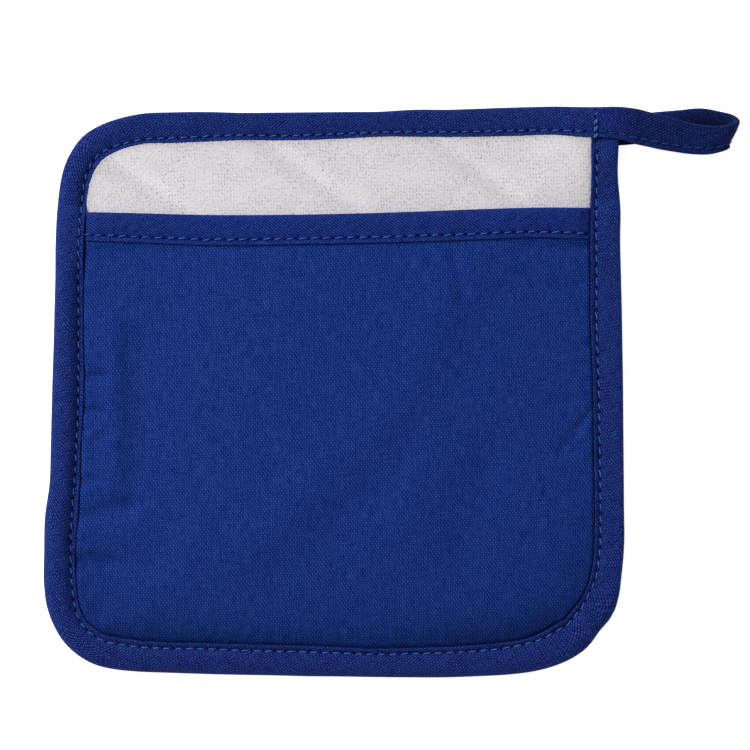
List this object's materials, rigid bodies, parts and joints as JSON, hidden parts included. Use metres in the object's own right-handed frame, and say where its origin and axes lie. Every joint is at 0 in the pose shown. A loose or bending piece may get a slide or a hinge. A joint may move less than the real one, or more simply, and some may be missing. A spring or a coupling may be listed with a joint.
{
  "type": "pot holder with hand pocket",
  "caption": "Square quilted pot holder in white terry with a blue canvas hand pocket, bound in blue tape whose tail makes a hanging loop.",
  "frame": {"origin": "on the surface that the pot holder lies on, under the middle of its square body", "axes": "+X to the right and +Y to the top as seen from the front, +Z out of the front face; the loop is at +X +Y"},
  "size_m": [0.2431, 0.199, 0.0144],
  "materials": {
    "terry": "white cotton terry, matte",
    "canvas": "blue plain-weave cotton canvas, matte",
    "tape": "blue cotton bias tape, matte"
  },
  "bodies": {
    "root": {"pad": "terry", "pocket": "canvas", "pocket_tape": "tape", "binding": "tape", "loop": "tape"}
  },
  "joints": []
}
